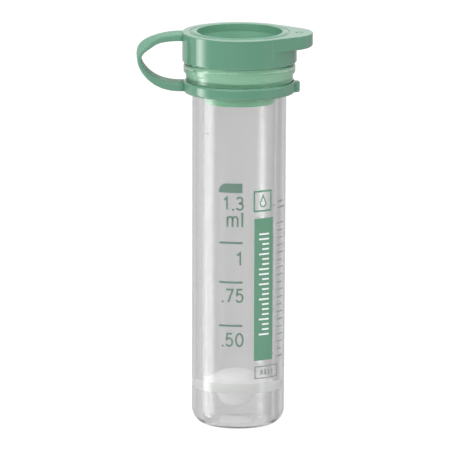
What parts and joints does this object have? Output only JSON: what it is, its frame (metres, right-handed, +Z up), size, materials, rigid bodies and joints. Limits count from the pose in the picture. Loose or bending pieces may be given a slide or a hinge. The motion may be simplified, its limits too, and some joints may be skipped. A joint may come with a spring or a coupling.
{
  "type": "blood collection tube",
  "caption": "Small clear plastic blood tube with a rounded foot and a milky floor insert, closed by a green push cap whose strap loops down to a ring round the neck.",
  "frame": {"origin": "middle of the base, on the tube's axis", "axes": "+Z up along the tube's axis to the cap, +X towards the thumb tab, -X towards the strap"},
  "size_m": [0.0205, 0.0132, 0.0462],
  "materials": {
    "clear_plastic": "glossy, clear with a faint milkiness",
    "milky_plastic": "milky, half translucent",
    "green_plastic": "soft gloss, greyish green"
  },
  "bodies": {
    "vessel": {"tube": "clear_plastic", "floor_insert": "milky_plastic"},
    "collar": {"ring": "green_plastic", "strap": "green_plastic"},
    "lid": {"cap": "green_plastic"}
  },
  "joints": [
    {"name": "closure_turn", "type": "hinge", "parent": "vessel", "child": "collar", "pos_m": [0, 0, 0.03973], "axis": [0, 0, 1], "continuous": true},
    {"name": "cap_lift", "type": "slide", "parent": "collar", "child": "lid", "axis": [0, 0, 1], "range_m": [0, 0.0068], "deforming": ["strap"]}
  ]
}
